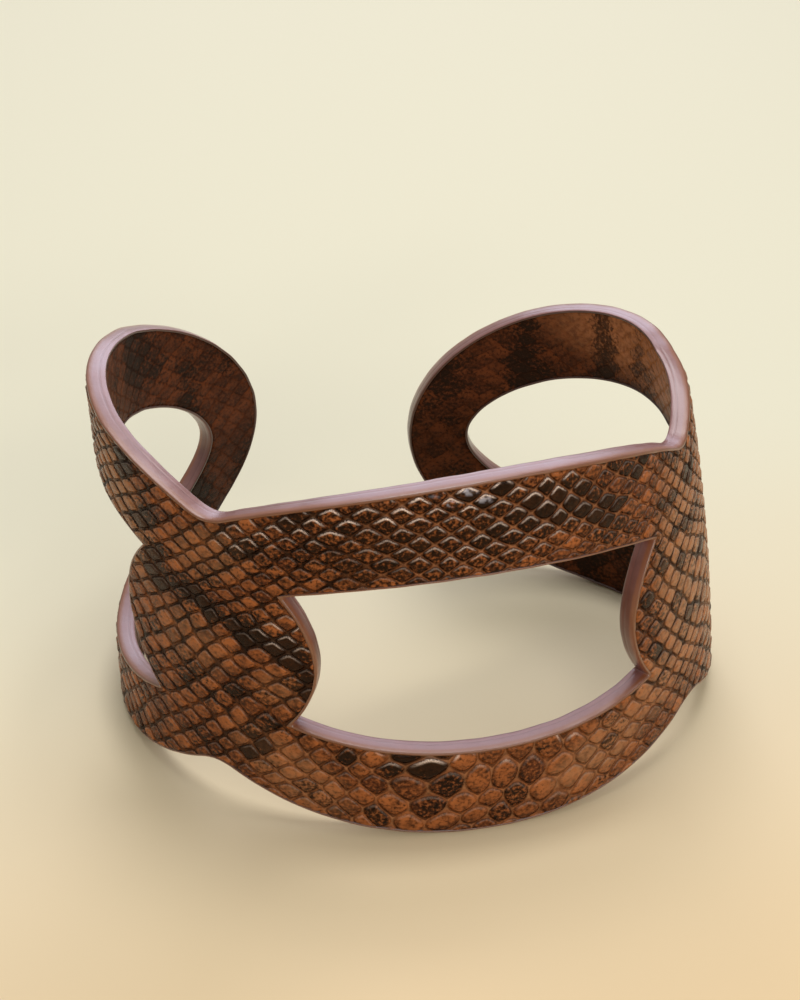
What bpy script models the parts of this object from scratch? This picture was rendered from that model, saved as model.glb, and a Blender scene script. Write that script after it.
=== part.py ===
"""Leather cuff bracelet: a flat blank of three overlapping rings, bent to an open oval.

The blank is drawn flat, u along it and v up it, as an outer outline and three openings worked
out from ring outlines. It is cut across at even stations and each station is carried to its
place on the oval. Two layers, outer and lining, lie back to back. Metres, +Z up, front to -Y.
"""
import math

import bmesh
import bpy
from mathutils import Vector

# Leather and the joint between the layers
OUTER_WALL = 0.0008
LINING_WALL = 0.0007
LAYER_GAP = 0.0003

# Centre ring and its window
CENTRE_HALF_LENGTH = 0.0375
CENTRE_HALF_HEIGHT = 0.01926
CENTRE_POWER = 1.936
WINDOW_HALF_LENGTH = 0.02834
WINDOW_HALF_HEIGHT = 0.00968
WINDOW_POWER = 1.99
WINDOW_LIFT = 0.00043

# Side rings and their loops, the same on both sides but for the shift: the left ring lies
# that much further out, the right ring that much further in
SIDE_OFFSET = 0.0473
SIDE_SHIFT = 0.00041
SIDE_NEAR_LENGTH = 0.0317
SIDE_END_LENGTH = 0.02826
SIDE_HALF_HEIGHT = 0.0189
SIDE_NEAR_POWER = 1.87
SIDE_END_POWER = 1.98
LOOP_HALF_LENGTH = 0.02257
LOOP_HALF_HEIGHT = 0.01065
LOOP_POWER = 1.83
LOOP_SHIFT = -0.00082
LOOP_LIFT = -0.00038

# How fine the outlines and the bend are
RING_STEPS = 60
OPENING_STEPS = 40
BEND_STATIONS = 50
LEVEL_CUTS = 4

# The bend: at a share of the half length, how sharply each side turns there, as the half
# length over the radius
BEND = (
    # share, left turn, right turn
    (0.000, 1.79, 1.79),
    (0.151, 2.45, 2.62),
    (0.302, 2.30, 2.31),
    (0.454, 3.59, 4.43),
    (0.630, 3.34, 4.64),
    (0.819, 2.92, 2.51),
    (1.071, 0.99, 0.15),
)

# The height about which the wall leans and bows
LEAN_LEVEL = 0.01805

# The lean of the wall: at a share of the half length, how far the top edge stands out past
# that level and how far both edges stand out past it, as shares of the level
LEAN = (
    # share, left lean, right lean, left bow, right bow
    (0.000, -0.065, -0.065, -0.040, -0.040),
    (0.277, -0.015, -0.136, -0.022, -0.051),
    (0.529, 0.035, -0.205, 0.006, -0.031),
    (0.781, 0.037, -0.084, 0.015, -0.071),
    (1.071, -0.166, -0.066, 0.017, -0.015),
)

HALF_LENGTH = SIDE_OFFSET + SIDE_END_LENGTH
PATH_STEPS = 400


class Ring:
    """A superellipse on the flat blank, which may be longer on one side than on the other."""

    def __init__(self, u, v, left, right, half_height, left_power, right_power, steps):
        self.u, self.v = u, v
        self.left, self.right = left, right
        self.left_power, self.right_power = left_power, right_power
        self.steps = steps
        # The lowest and the highest side of the outline are level and lie at the full height
        self.half_height = half_height
        self.step = 2 * math.pi / steps

    def raw(self, angle):
        c, s = math.cos(angle), math.sin(angle)
        left = c < 0
        power = self.left_power if left else self.right_power
        length = self.left if left else self.right
        flat = math.cos(self.step / 2) ** (2 / power)
        u = self.u + math.copysign(length * abs(c) ** (2 / power), c)
        v = self.v + math.copysign(self.half_height * min(abs(s) ** (2 / power) / flat, 1.0), s)
        return u, v

    def outside(self, point):
        """Above nought outside the ring, below it inside."""
        du, dv = point[0] - self.u, point[1] - self.v
        left = du < 0
        power = self.left_power if left else self.right_power
        length = self.left if left else self.right
        return abs(du / length) ** power + abs(dv / self.half_height) ** power - 1

    def crossing(self, other, inner, outer):
        """The angle on this ring where it passes out of the other, between two angles."""
        for _ in range(60):
            middle = (inner + outer) / 2
            if other.outside(self.raw(middle)) > 0:
                outer = middle
            else:
                inner = middle
        return (inner + outer) / 2

    def arc(self, start, end):
        """Points from one angle round to the next, at the ring's own even steps."""
        first = math.ceil((start + 0.35 * self.step) / self.step - 0.5)
        last = math.floor((end - 0.35 * self.step) / self.step - 0.5)
        angles = [start] + [(i + 0.5) * self.step for i in range(first, last + 1)]
        return [self.raw(a) for a in angles]


def side_ring(offset):
    return Ring(offset, SIDE_HALF_HEIGHT, SIDE_NEAR_LENGTH, SIDE_END_LENGTH,
                SIDE_HALF_HEIGHT, SIDE_NEAR_POWER, SIDE_END_POWER, RING_STEPS)


def side_loop(offset):
    return Ring(offset + LOOP_SHIFT, SIDE_HALF_HEIGHT + LOOP_LIFT, LOOP_HALF_LENGTH,
                LOOP_HALF_LENGTH, LOOP_HALF_HEIGHT, LOOP_POWER, LOOP_POWER, OPENING_STEPS)


CENTRE = Ring(0.0, CENTRE_HALF_HEIGHT, CENTRE_HALF_LENGTH, CENTRE_HALF_LENGTH,
              CENTRE_HALF_HEIGHT, CENTRE_POWER, CENTRE_POWER, RING_STEPS)
WINDOW = Ring(0.0, CENTRE_HALF_HEIGHT + WINDOW_LIFT, WINDOW_HALF_LENGTH, WINDOW_HALF_LENGTH,
              WINDOW_HALF_HEIGHT, WINDOW_POWER, WINDOW_POWER, OPENING_STEPS)


def mirrored(points):
    return [(-u, v) for u, v in reversed(points)]


def outer_half(offset):
    """From the centre ring's lowest point round a side ring to the centre ring's top."""
    right = side_ring(offset)
    top = CENTRE.crossing(right, 0.0, math.pi / 2)
    low = CENTRE.crossing(right, 0.0, -math.pi / 2)
    near_top = right.crossing(CENTRE, math.pi, math.pi / 2)
    near_low = right.crossing(CENTRE, -math.pi, -math.pi / 2)
    half = CENTRE.arc(-math.pi / 2, low)[1:]
    half += right.arc(near_low, near_top)
    return half + [p for p in CENTRE.arc(top, math.pi / 2) if p[0] > 0]


def window_half(offset):
    """Half of the window's oval, with a side ring's near edge across its end."""
    right = side_ring(offset)
    top = WINDOW.crossing(right, 0.0, math.pi / 2)
    low = WINDOW.crossing(right, 0.0, -math.pi / 2)
    near_top = right.crossing(WINDOW, math.pi, math.pi / 2)
    near_low = right.crossing(WINDOW, -math.pi, -math.pi / 2)
    near = right.arc(near_top, near_low + 2 * math.pi)[1:]
    half = WINDOW.arc(-math.pi / 2, low)[1:] + [WINDOW.raw(low)]
    half += near[::-1]
    return half + [p for p in WINDOW.arc(top, math.pi / 2) if p[0] > 0]


def loop_outline(offset):
    """A side loop's oval, with the centre ring's far edge across its near end."""
    loop = side_loop(offset)
    top = loop.crossing(CENTRE, math.pi, math.pi / 2)
    low = loop.crossing(CENTRE, -math.pi, -math.pi / 2)
    far_top = CENTRE.crossing(loop, 0.0, math.pi / 2)
    far_low = CENTRE.crossing(loop, 0.0, -math.pi / 2)
    far = CENTRE.arc(far_low, far_top)[1:]
    return loop.arc(low, top) + [loop.raw(top)] + far[::-1]


def table_value(table, share, column):
    """A column of a table at a share, on straight lines between its rows."""
    for row, following in zip(table, table[1:]):
        if share <= following[0]:
            part = (share - row[0]) / (following[0] - row[0])
            return row[column] + part * (following[column] - row[column])
    return table[-1][column]


def path(side_column):
    """The oval from the front's middle along one side, as points with the tangent's angle."""
    step = 1.08 * HALF_LENGTH / PATH_STEPS
    heading, x, y = 0.0, 0.0, 0.0
    rows = [(x, y, heading)]
    for i in range(PATH_STEPS):
        turn = table_value(BEND, (i + 0.5) * step / HALF_LENGTH, side_column) / HALF_LENGTH
        middle = heading + turn * step / 2
        x += math.cos(middle) * step
        y += math.sin(middle) * step
        heading += turn * step
        rows.append((x, y, heading))
    return rows, step


LEFT_PATH = path(1)
RIGHT_PATH = path(2)


def place(u, v, w):
    """A point of the flat blank carried to the bent cuff, w out from between the layers."""
    left = u < 0
    rows, step = LEFT_PATH if left else RIGHT_PATH
    along = min(abs(u) / step, PATH_STEPS - 1e-6)
    i = int(along)
    part = along - i
    x, y, heading = (a + part * (b - a) for a, b in zip(rows[i], rows[i + 1]))
    share = abs(u) / HALF_LENGTH
    level = (v - LEAN_LEVEL) / LEAN_LEVEL
    lean = table_value(LEAN, share, 1 if left else 2)
    bow = table_value(LEAN, share, 3 if left else 4)
    out = w + LEAN_LEVEL * (lean * level + bow * level * level)
    x += out * math.sin(heading)
    y -= out * math.cos(heading)
    return Vector((-x if left else x, y, v))


def flat_blank(name, low, high):
    """The blank as a closed flat slab between two depths, made from a filled 2D curve."""
    curve = bpy.data.curves.new(name + "_outline", "CURVE")
    curve.dimensions = "2D"
    curve.fill_mode = "BOTH"
    curve.extrude = (high - low) / 2
    left, right = SIDE_OFFSET + SIDE_SHIFT, SIDE_OFFSET - SIDE_SHIFT
    outlines = (outer_half(right) + mirrored(outer_half(left)),
                window_half(right) + mirrored(window_half(left)),
                loop_outline(right),
                mirrored(loop_outline(left)))
    for points in outlines:
        spline = curve.splines.new("POLY")
        spline.points.add(len(points) - 1)
        for point, (u, v) in zip(spline.points, points):
            point.co = (u, v, 0.0, 1.0)
        spline.use_cyclic_u = True
    holder = bpy.data.objects.new(name + "_outline", curve)
    bpy.context.scene.collection.objects.link(holder)
    bpy.context.view_layer.update()
    evaluated = holder.evaluated_get(bpy.context.evaluated_depsgraph_get())
    mesh = bpy.data.meshes.new_from_object(evaluated)
    bpy.data.objects.remove(holder)
    mesh.name = name
    bm = bmesh.new()
    bm.from_mesh(mesh)
    bmesh.ops.remove_doubles(bm, verts=bm.verts, dist=0.00001)
    bmesh.ops.translate(bm, verts=bm.verts, vec=(0.0, 0.0, (high + low) / 2))
    return mesh, bm


def bent_layer(name, low, high, parent, colour, roughness):
    """One layer: its flat slab cut across at the stations, bent and made into triangles."""
    mesh, bm = flat_blank(name, low, high)
    seams = []
    for i in range(1, BEND_STATIONS):
        u = HALF_LENGTH * (2 * i / BEND_STATIONS - 1)
        seams.append(((u, 0.0, 0.0), (1.0, 0.0, 0.0)))
    for i in range(1, LEVEL_CUTS):
        v = 2 * CENTRE_HALF_HEIGHT * i / LEVEL_CUTS
        seams.append(((0.0, v, 0.0), (0.0, 1.0, 0.0)))
    for point, normal in seams:
        everything = bm.verts[:] + bm.edges[:] + bm.faces[:]
        cut = bmesh.ops.bisect_plane(bm, geom=everything, dist=0.000001, plane_co=point,
                                     plane_no=normal)
        for item in cut["geom_cut"]:
            if isinstance(item, bmesh.types.BMEdge):
                item.seam = True
    bmesh.ops.dissolve_limit(bm, angle_limit=0.0005, verts=bm.verts, edges=bm.edges,
                             delimit={"SEAM"})
    bmesh.ops.triangulate(bm, faces=bm.faces)
    bmesh.ops.recalc_face_normals(bm, faces=bm.faces)
    for vert in bm.verts:
        vert.co = place(*vert.co)
    bm.to_mesh(mesh)
    bm.free()
    obj = bpy.data.objects.new(name, mesh)
    material = bpy.data.materials.new(name)
    material.use_nodes = True
    shader = material.node_tree.nodes["Principled BSDF"]
    shader.inputs["Base Color"].default_value = (*colour, 1.0)
    shader.inputs["Roughness"].default_value = roughness
    mesh.materials.append(material)
    mesh.shade_smooth()
    mesh.set_sharp_from_angle(angle=math.radians(40))
    obj.parent = parent
    parts.objects.link(obj)
    return obj


for old in list(bpy.data.objects):
    bpy.data.objects.remove(old)

parts = bpy.data.collections.new("cuff_bracelet")
bpy.context.scene.collection.children.link(parts)
cuff = bpy.data.objects.new("cuff", None)
parts.objects.link(cuff)

outer = bent_layer("outer_leather", LAYER_GAP / 2, LAYER_GAP / 2 + OUTER_WALL, cuff,
                   (0.20, 0.085, 0.035), 0.4)
lining = bent_layer("lining_leather", -LAYER_GAP / 2 - LINING_WALL, -LAYER_GAP / 2, cuff,
                    (0.07, 0.03, 0.014), 0.45)

# The origin is the middle of the outer layer's box, on the table
xs = [v.co.x for v in outer.data.vertices]
ys = [v.co.y for v in outer.data.vertices]
zs = [v.co.z for v in outer.data.vertices]
cuff.location = (-(min(xs) + max(xs)) / 2, -(min(ys) + max(ys)) / 2, -min(zs))
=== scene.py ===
"""The looks of the open leather cuff: embossed snake grain outside and inside, painted edges.

The cuff is drawn on its flat blank, u along it and v up it, w out of the middle of the leather,
and carried to the bent oval by place(). Metres, +Z up, the front to -Y.
"""
import math

import bpy
import numpy as np
from mathutils import Matrix, Vector


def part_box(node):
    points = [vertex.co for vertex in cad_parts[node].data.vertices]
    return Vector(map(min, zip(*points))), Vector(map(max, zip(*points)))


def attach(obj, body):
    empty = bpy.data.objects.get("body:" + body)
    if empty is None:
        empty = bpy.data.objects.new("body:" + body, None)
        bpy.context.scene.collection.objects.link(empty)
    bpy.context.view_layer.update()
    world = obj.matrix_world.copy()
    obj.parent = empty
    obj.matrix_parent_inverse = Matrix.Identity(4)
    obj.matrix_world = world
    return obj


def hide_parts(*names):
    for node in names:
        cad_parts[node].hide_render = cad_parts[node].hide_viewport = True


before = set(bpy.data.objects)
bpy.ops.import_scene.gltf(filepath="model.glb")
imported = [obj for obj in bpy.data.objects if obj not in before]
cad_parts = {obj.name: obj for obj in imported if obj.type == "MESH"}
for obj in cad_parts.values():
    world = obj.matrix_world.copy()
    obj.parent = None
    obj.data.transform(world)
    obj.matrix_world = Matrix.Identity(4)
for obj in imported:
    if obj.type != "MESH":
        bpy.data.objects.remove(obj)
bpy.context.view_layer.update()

# The outer layer's two faces and the lining's inner face, over the blank's middle
OUTER_FACE = 0.00095
OUTER_JOINT = 0.00015
LINING_FACE = -0.00085

# Centre ring and its window
CENTRE_HALF_LENGTH = 0.0375
CENTRE_HALF_HEIGHT = 0.01926
CENTRE_POWER = 1.936
WINDOW_HALF_LENGTH = 0.02834
WINDOW_HALF_HEIGHT = 0.00968
WINDOW_POWER = 1.99
WINDOW_LIFT = 0.00043

# Side rings and their loops; the left ring lies a shift further out, the right one further in
SIDE_OFFSET = 0.0473
SIDE_SHIFT = 0.00041
SIDE_NEAR_LENGTH = 0.0317
SIDE_END_LENGTH = 0.02826
SIDE_HALF_HEIGHT = 0.0189
SIDE_NEAR_POWER = 1.87
SIDE_END_POWER = 1.98
LOOP_HALF_LENGTH = 0.02257
LOOP_HALF_HEIGHT = 0.01065
LOOP_POWER = 1.83
LOOP_SHIFT = -0.00082
LOOP_LIFT = -0.00038

HALF_LENGTH = SIDE_OFFSET + SIDE_END_LENGTH
HEIGHT = 2 * CENTRE_HALF_HEIGHT
PATH_STEPS = 400
RIM_POINTS = 3000

# The bend: share of the half length, left turn, right turn, as the half length over the radius
BEND = np.array((
    (0.000, 1.79, 1.79),
    (0.151, 2.45, 2.62),
    (0.302, 2.30, 2.31),
    (0.454, 3.59, 4.43),
    (0.630, 3.34, 4.64),
    (0.819, 2.92, 2.51),
    (1.071, 0.99, 0.15),
))

# The lean: share of the half length, left lean, right lean, left bow, right bow
LEAN_LEVEL = 0.01805
LEAN = np.array((
    (0.000, -0.065, -0.065, -0.040, -0.040),
    (0.277, -0.015, -0.136, -0.022, -0.051),
    (0.529, 0.035, -0.205, 0.006, -0.031),
    (0.781, 0.037, -0.084, 0.015, -0.071),
    (1.071, -0.166, -0.066, 0.017, -0.015),
))


def smooth_step(low, high, value):
    """0 below low, 1 above high, and 3 t t - 2 t t t between them."""
    t = np.clip((value - low) / (high - low), 0.0, 1.0)
    return t * t * (3 - 2 * t)


# The blank's outline
class Ring:
    """A superellipse on the blank: |du / length| ** power + |dv / half height| ** power = 1.

    Length and power may differ to the left and to the right of the middle.
    """

    def __init__(self, u, v, left, right, half_height, left_power, right_power):
        self.u, self.v = u, v
        self.left, self.right = left, right
        self.half_height = half_height
        self.left_power, self.right_power = left_power, right_power

    def distance(self, u, v):
        """About how far a point lies outside the ring: the excess of the sum over its slope."""
        du, dv = u - self.u, v - self.v
        power = np.where(du < 0, self.left_power, self.right_power)
        length = np.where(du < 0, self.left, self.right)
        along = np.maximum(np.abs(du / length), 1e-4)
        up = np.maximum(np.abs(dv / self.half_height), 1e-4)
        slope_u = power * along ** (power - 1) / length
        slope_v = power * up ** (power - 1) / self.half_height
        return (along ** power + up ** power - 1) / np.hypot(slope_u, slope_v)

    def point(self, angle):
        """The rim at an angle: cosine and sine, each to the power of two over the ring's."""
        c, s = np.cos(angle), np.sin(angle)
        power = np.where(c < 0, self.left_power, self.right_power)
        length = np.where(c < 0, self.left, self.right)
        u = self.u + np.sign(c) * length * np.abs(c) ** (2 / power)
        v = self.v + np.sign(s) * self.half_height * np.abs(s) ** (2 / power)
        return u, v

    def crossing(self, other, inner, outer):
        """The angle where this rim passes out of the other ring, by halving."""
        for _ in range(50):
            middle = (inner + outer) / 2
            u, v = self.point(middle)
            if other.distance(u, v) > 0:
                outer = middle
            else:
                inner = middle
        return (inner + outer) / 2


CENTRE = Ring(0.0, CENTRE_HALF_HEIGHT, CENTRE_HALF_LENGTH, CENTRE_HALF_LENGTH,
              CENTRE_HALF_HEIGHT, CENTRE_POWER, CENTRE_POWER)
WINDOW = Ring(0.0, CENTRE_HALF_HEIGHT + WINDOW_LIFT, WINDOW_HALF_LENGTH, WINDOW_HALF_LENGTH,
              WINDOW_HALF_HEIGHT, WINDOW_POWER, WINDOW_POWER)
RIGHT_U = SIDE_OFFSET - SIDE_SHIFT
LEFT_U = -SIDE_OFFSET - SIDE_SHIFT
RIGHT_RING = Ring(RIGHT_U, SIDE_HALF_HEIGHT, SIDE_NEAR_LENGTH, SIDE_END_LENGTH,
                  SIDE_HALF_HEIGHT, SIDE_NEAR_POWER, SIDE_END_POWER)
LEFT_RING = Ring(LEFT_U, SIDE_HALF_HEIGHT, SIDE_END_LENGTH, SIDE_NEAR_LENGTH,
                 SIDE_HALF_HEIGHT, SIDE_END_POWER, SIDE_NEAR_POWER)
RIGHT_LOOP = Ring(RIGHT_U + LOOP_SHIFT, SIDE_HALF_HEIGHT + LOOP_LIFT, LOOP_HALF_LENGTH,
                  LOOP_HALF_LENGTH, LOOP_HALF_HEIGHT, LOOP_POWER, LOOP_POWER)
LEFT_LOOP = Ring(LEFT_U - LOOP_SHIFT, SIDE_HALF_HEIGHT + LOOP_LIFT, LOOP_HALF_LENGTH,
                 LOOP_HALF_LENGTH, LOOP_HALF_HEIGHT, LOOP_POWER, LOOP_POWER)


# How far the notches between the rings are rounded, and where up the blank that begins
NOTCH_ROUND = 0.0017
NOTCH_START, NOTCH_END = 0.0100, 0.0125


def rim_distance(u, v):
    """How far a point lies outside the leather, below nought inside it.

    The leather is the centre ring less its window outside the side rings, joined with the side
    rings less their loops outside the centre ring: a join is the lesser distance, a cut the
    greater of the one and the other's opposite. In the outer notches the join is rounded: the
    lesser distance less a quarter of the square of what the two differ short of the rounding.
    """
    centre = CENTRE.distance(u, v)
    sides = np.minimum(LEFT_RING.distance(u, v), RIGHT_RING.distance(u, v))
    window = np.maximum(WINDOW.distance(u, v), -sides)
    loops = np.minimum(LEFT_LOOP.distance(u, v), RIGHT_LOOP.distance(u, v))
    loops = np.maximum(loops, -centre)
    centre, sides = np.maximum(centre, -window), np.maximum(sides, -loops)
    share = smooth_step(NOTCH_START, NOTCH_END, np.abs(v - CENTRE_HALF_HEIGHT))
    round_here = NOTCH_ROUND * share + 1e-6
    short = np.maximum(round_here - np.abs(centre - sides), 0.0)
    return np.minimum(centre, sides) - short ** 2 / round_here / 4


def onto_rim(u, v, reach):
    """Points moved to the leather's outline along the distance's slope."""
    for _ in range(4):
        here = rim_distance(u, v)
        slope_u = (rim_distance(u + reach, v) - here) / reach
        slope_v = (rim_distance(u, v + reach) - here) / reach
        size = np.maximum(slope_u ** 2 + slope_v ** 2, 0.25)
        u, v = u - here * slope_u / size, v - here * slope_v / size
    return u, v


def arc(ring, start, end, spacing):
    """A ring's rim between two angles at even distances, its last point left out."""
    u, v = ring.point(np.linspace(start, end, RIM_POINTS))
    along = np.concatenate([[0.0], np.cumsum(np.hypot(np.diff(u), np.diff(v)))])
    count = max(int(along[-1] / spacing), 4)
    even = np.linspace(0.0, along[-1], count, endpoint=False)
    return np.stack([np.interp(even, along, u), np.interp(even, along, v)], axis=1)


def side_arcs(side, loop):
    """The right or left third of each outline, run with rising angle on the flat blank."""
    right = side is RIGHT_RING
    turn = 0.0 if right else math.pi
    outward = 1 if right else -1
    quarter = outward * math.pi / 2
    # On the outer outline: where the centre ring and the side ring cross
    rim_up = CENTRE.crossing(side, turn, turn + quarter)
    rim_low = CENTRE.crossing(side, turn, turn - quarter)
    side_up = side.crossing(CENTRE, math.pi - turn, math.pi - turn - quarter)
    side_low = side.crossing(CENTRE, math.pi - turn, math.pi - turn + quarter)
    # On the window: where its oval and the side ring's near edge cross
    oval_up = WINDOW.crossing(side, turn, turn + quarter)
    oval_low = WINDOW.crossing(side, turn, turn - quarter)
    near_up = side.crossing(WINDOW, math.pi - turn, math.pi - turn - quarter)
    near_low = side.crossing(WINDOW, math.pi - turn, math.pi - turn + quarter)
    # On the loop: where its oval and the centre ring's far edge cross
    loop_up = loop.crossing(CENTRE, math.pi - turn, math.pi - turn - quarter)
    loop_low = loop.crossing(CENTRE, math.pi - turn, math.pi - turn + quarter)
    far_up = CENTRE.crossing(loop, turn, turn + quarter)
    far_low = CENTRE.crossing(loop, turn, turn - quarter)
    return dict(rim=(rim_low, rim_up), side=(side_low, side_up), oval=(oval_low, oval_up),
                near=(near_low, near_up), loop=(loop_low, loop_up), far=(far_low, far_up))


def outlines(spacing):
    """The four closed outlines with the leather on their left: outer, window, two loops."""
    right = side_arcs(RIGHT_RING, RIGHT_LOOP)
    left = side_arcs(LEFT_RING, LEFT_LOOP)
    full = 2 * math.pi
    outer = [
        arc(RIGHT_RING, right["side"][0] - full, right["side"][1], spacing),
        arc(CENTRE, right["rim"][1], left["rim"][1], spacing),
        arc(LEFT_RING, left["side"][1], full + left["side"][0], spacing),
        arc(CENTRE, left["rim"][0], full + right["rim"][0], spacing),
    ]
    window = [
        arc(WINDOW, left["oval"][1], right["oval"][1], spacing),
        arc(RIGHT_RING, right["near"][1], right["near"][0], spacing),
        arc(WINDOW, right["oval"][0] + full, left["oval"][0], spacing),
        arc(LEFT_RING, left["near"][0], left["near"][1], spacing),
    ]
    right_loop = [
        arc(RIGHT_LOOP, right["loop"][1], right["loop"][0] - full, spacing),
        arc(CENTRE, right["far"][0], right["far"][1], spacing),
    ]
    left_loop = [
        arc(LEFT_LOOP, left["loop"][0] + full, left["loop"][1], spacing),
        arc(CENTRE, left["far"][1], left["far"][0], spacing),
    ]
    return dict(outer=np.concatenate(outer), window=np.concatenate(window),
                right_loop=np.concatenate(right_loop), left_loop=np.concatenate(left_loop))


# The bend from the flat blank to the oval
def bent_path(column):
    """The oval along one side: the heading is the sum of the turns, the path the sum of steps."""
    step = 1.08 * HALF_LENGTH / PATH_STEPS
    share = (np.arange(PATH_STEPS) + 0.5) * step / HALF_LENGTH
    turn = np.interp(share, BEND[:, 0], BEND[:, column]) / HALF_LENGTH * step
    heading = np.concatenate([[0.0], np.cumsum(turn)])
    middle = heading[:-1] + turn / 2
    x = np.concatenate([[0.0], np.cumsum(np.cos(middle) * step)])
    y = np.concatenate([[0.0], np.cumsum(np.sin(middle) * step)])
    return np.stack([np.arange(PATH_STEPS + 1) * step, x, y, heading])


LEFT_PATH, RIGHT_PATH = bent_path(1), bent_path(2)


def bend(u, v, w):
    """Blank to oval: the path's point at u, moved out along its normal by w, lean and bow."""
    u, v, w = np.broadcast_arrays(u, v, w)
    left = u < 0
    along = np.abs(u)
    x, y, heading = (np.where(left, np.interp(along, LEFT_PATH[0], LEFT_PATH[row]),
                              np.interp(along, RIGHT_PATH[0], RIGHT_PATH[row]))
                     for row in (1, 2, 3))
    share = along / HALF_LENGTH
    lean, bow = (np.where(left, np.interp(share, LEAN[:, 0], LEAN[:, column]),
                          np.interp(share, LEAN[:, 0], LEAN[:, column + 1]))
                 for column in (1, 3))
    level = (v - LEAN_LEVEL) / LEAN_LEVEL
    out = w + LEAN_LEVEL * (lean * level + bow * level * level)
    x = x + out * np.sin(heading)
    y = y - out * np.cos(heading)
    return np.stack([np.where(left, -x, x), y, v], axis=-1)


def shift_to_frame():
    """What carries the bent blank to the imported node: the difference of their boxes' middles."""
    low, high = (np.array(corner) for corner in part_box("outer_leather"))
    rim = outlines(0.0005)["outer"]
    faces = np.concatenate([bend(rim[:, 0], rim[:, 1], OUTER_FACE),
                            bend(rim[:, 0], rim[:, 1], OUTER_JOINT)])
    shift = (low + high) / 2 - (faces.min(axis=0) + faces.max(axis=0)) / 2
    shift[2] = 0.0
    return shift


SHIFT = shift_to_frame()


def place(u, v, w):
    """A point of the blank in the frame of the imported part."""
    return bend(u, v, w) + SHIFT


# Waves that the grain, the marks and the edge share
def waves(u, v, length, seed, count=6):
    """A sum of plain waves in turned directions, about as long as length, scaled to -1 to 1."""
    chance = np.random.default_rng(seed)
    total = np.zeros_like(u)
    for _ in range(count):
        turn = chance.uniform(0, math.pi)
        size = length * chance.uniform(0.7, 1.5)
        phase = chance.uniform(0, 2 * math.pi)
        total += np.sin(2 * math.pi * (u * math.cos(turn) + v * math.sin(turn)) / size + phase)
    return total / count ** 0.5 / 1.5


# The lattice of the scales: full widths at places along the blank, full heights at levels up it
WIDTH_PLACES = (0.000, 0.014, 0.019, 0.028, 0.036, 0.080)
HIGH_WIDTHS = (0.0030, 0.0030, 0.0023, 0.0023, 0.0026, 0.0026)
LOW_WIDTHS = (0.0029, 0.0028, 0.0027, 0.0027, 0.0026, 0.0026)
SIDE_LEVELS = (0.000, 0.020, 0.026, 0.040)
SIDE_HEIGHTS = (0.0027, 0.0026, 0.0020, 0.0021)
LOW_LEVEL, LOW_HEIGHT = 0.0070, 0.0047
HIGH_LEVEL = 0.0330
HIGH_LEVELS = (0.0285, 0.0315, 0.0335, 0.0385)
HIGH_HEIGHTS = (0.0016, 0.0018, 0.00207, 0.0022)
CORNER_POWER = 5
SIDE_SLOPE, LOW_SLOPE = 0.88, 0.45


def counted(places, sizes):
    """Scales counted along a line: the sum of short steps over the scale's size there."""
    line = np.linspace(places[0] - 0.006, places[-1] + 0.006, 1201)
    count = np.cumsum((line[1] - line[0]) / np.interp(line, places, sizes))
    return line, count - np.interp(0.0, line, count)


ALONG_HIGH = counted(WIDTH_PLACES, HIGH_WIDTHS)
ALONG_LOW = counted(WIDTH_PLACES, LOW_WIDTHS)
UP_SIDE = counted(SIDE_LEVELS, SIDE_HEIGHTS)
UP_HIGH = counted(HIGH_LEVELS, HIGH_HEIGHTS)


def front_share(u):
    """1 at the middle of the front, 0 from the side rings on, by a smooth step between."""
    return 1 - smooth_step(0.005, 0.0165, np.abs(u))


def scale_lattice(u, v, seed):
    """a counts scales along the blank and b counts them up it, each bent a little by waves.

    A scale's middle lies where both are whole, or both a half more than whole. On the front the
    rows are counted apart for the lower and the upper band, each from its own level.
    """
    aside = np.abs(u)
    high = smooth_step(0.019, 0.028, v)
    low_a, high_a = np.interp(aside, *ALONG_LOW), np.interp(aside, *ALONG_HIGH)
    a = np.sign(u) * (low_a + high * (high_a - low_a))
    side_b = np.interp(v, *UP_SIDE)
    low_b = np.interp(LOW_LEVEL, *UP_SIDE) + (v - LOW_LEVEL) / LOW_HEIGHT
    high_b = np.interp(HIGH_LEVEL, *UP_SIDE) + (np.interp(v, *UP_HIGH)
                                                - np.interp(HIGH_LEVEL, *UP_HIGH))
    front_b = np.where(v < CENTRE_HALF_HEIGHT, low_b, high_b)
    b = side_b + front_share(u) * (front_b - side_b)
    a = a + 0.20 * waves(u, v, 0.015, seed) + 0.060 * waves(u, v, 0.0042, seed + 1)
    b = b + 0.22 * waves(u, v, 0.016, seed + 2) + 0.055 * waves(u, v, 0.0040, seed + 3)
    return a, b


def scale_slope(u, v):
    """Slope of a scale's upper and lower sides on the lattice: 1 makes a diamond, less a
    hexagon with upright sides, as on the front's lower band."""
    front = np.where(v < CENTRE_HALF_HEIGHT, LOW_SLOPE, 1.0)
    return SIDE_SLOPE + front_share(u) * (front - SIDE_SLOPE)


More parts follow.
